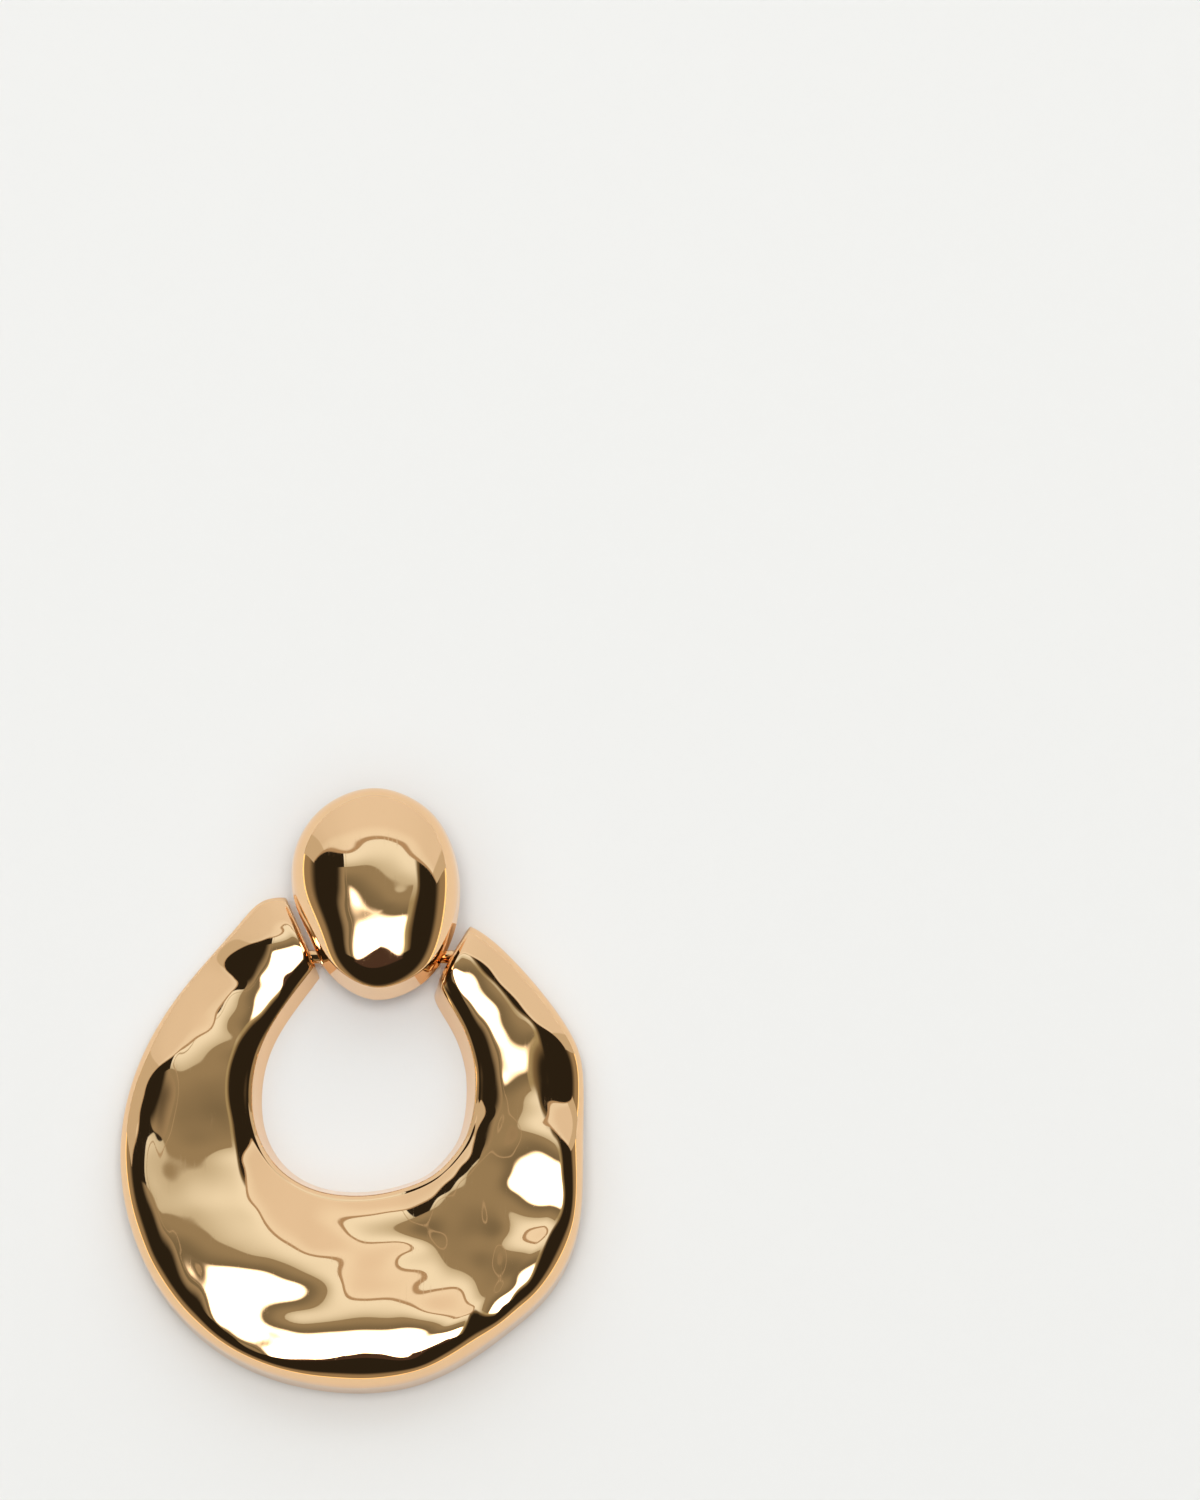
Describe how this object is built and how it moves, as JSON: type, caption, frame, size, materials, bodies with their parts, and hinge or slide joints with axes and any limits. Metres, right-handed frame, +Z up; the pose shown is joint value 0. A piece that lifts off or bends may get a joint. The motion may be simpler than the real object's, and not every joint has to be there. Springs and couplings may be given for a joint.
{
  "type": "doorknocker earring",
  "caption": "Clip-on doorknocker earring: a domed pebble stud over a broad hammered open ring that swings on a hinge pin between its ends.",
  "frame": {"origin": "centre of the footprint, on the surface that the earring lies on", "axes": "+Z up out of the front face, +Y from the ring's foot towards the stud, +X to the right as seen from the front"},
  "size_m": [0.0498, 0.065, 0.0107],
  "materials": {
    "polished_gold": "mirror polished gold plate",
    "fittings_gold": "polished gold plate, plainly finished"
  },
  "bodies": {
    "stud": {"stud": "polished_gold", "ear_clip": "fittings_gold"},
    "ring": {"ring": "polished_gold", "hinge_pin": "fittings_gold"}
  },
  "joints": [
    {"name": "ring_swing", "type": "hinge", "parent": "stud", "child": "ring", "pos_m": [0.00269, 0.01443, 0.0026], "axis": [-1, 0, 0], "range_deg": [-40, 30]}
  ]
}
